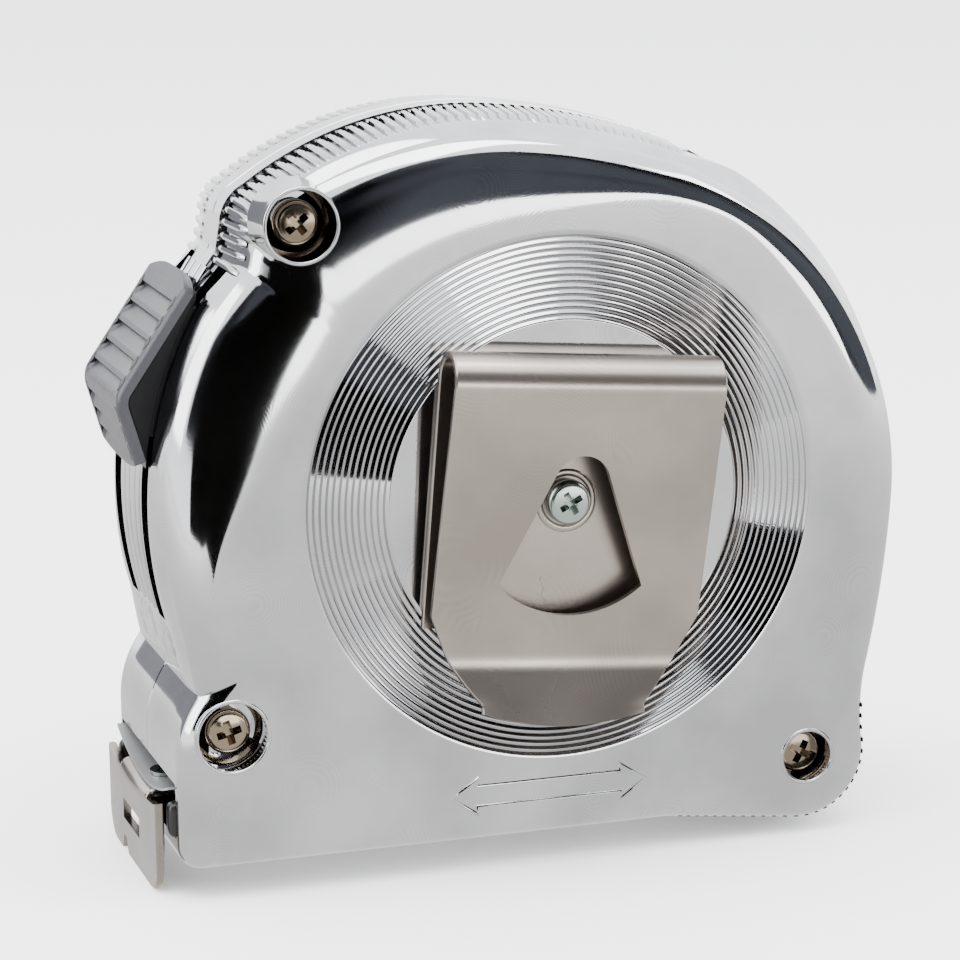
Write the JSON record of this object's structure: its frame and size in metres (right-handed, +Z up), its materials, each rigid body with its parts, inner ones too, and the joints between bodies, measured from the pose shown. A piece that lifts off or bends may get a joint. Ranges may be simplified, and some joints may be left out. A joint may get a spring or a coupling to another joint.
{
  "type": "tape measure",
  "caption": "Pocket tape measure with a plated two-part case, sliding blade lock, end hook and steel belt clip.",
  "frame": {"origin": "on the flat base, straight below the reel axis and on the parting plane", "axes": "+Z up, the blade leaves towards -X, the belt clip is on the -Y side"},
  "size_m": [0.0863, 0.0386, 0.0821],
  "materials": {
    "plated_case": "bright chrome plating over moulded ABS, finely swirled and scratched",
    "clip_steel": "satin nickel-plated spring steel with handling marks",
    "hook_steel": "satin nickel-plated steel",
    "nickel_screw": "warm bright nickel",
    "zinc_screw": "zinc plated",
    "black_plastic": "semi-gloss moulded black",
    "pad_silver": "fine-textured silver paint",
    "bumper_rubber": "smooth black rubber",
    "inner_plastic": "plain moulded nylon",
    "spring_steel": "blued spring steel",
    "blade_paint": "grey lacquer under clear coat",
    "label_vinyl": "plain satin vinyl"
  },
  "bodies": {
    "case": {"clip_side_case": "plated_case", "label_side_case": "plated_case", "case_screws": "nickel_screw", "belt_clip": "clip_steel", "clip_screw": "zinc_screw", "spool_post": "inner_plastic", "mouth_bumpers": "bumper_rubber", "blade_guide": "inner_plastic", "label_disc": "label_vinyl"},
    "reel": {"spool_drum": "inner_plastic", "spool_flange": "inner_plastic", "power_spring": "spring_steel", "blade_coil": "blade_paint"},
    "blade": {"blade_lead": "blade_paint", "hook_rivets": "zinc_screw"},
    "hook": {"end_hook": "hook_steel"},
    "lock": {"lock_slider": "black_plastic", "lock_cap": "pad_silver", "lock_arm": "black_plastic", "brake_pad": "bumper_rubber"}
  },
  "joints": [
    {"name": "reel_turn", "type": "hinge", "parent": "case", "child": "reel", "pos_m": [0, 0, 0.0375], "axis": [0, 1, 0], "range_deg": [0, 57], "stiffness_Nm_per_rad": 0.02, "springref_deg": -114.59},
    {"name": "blade_out", "type": "slide", "parent": "case", "child": "blade", "axis": [-1, 0, 0], "range_m": [0, 0.02945]},
    {"name": "hook_play", "type": "slide", "parent": "blade", "child": "hook", "axis": [-1, 0, 0], "range_m": [0, 0.001]},
    {"name": "lock_slide", "type": "hinge", "parent": "case", "child": "lock", "pos_m": [0, 0, 0.0375], "axis": [0, -1, 0], "range_deg": [0, 20]}
  ],
  "couplings": [
    {"joint": "blade_out", "follows": "reel_turn", "m_per_rad": 0.0296}
  ]
}
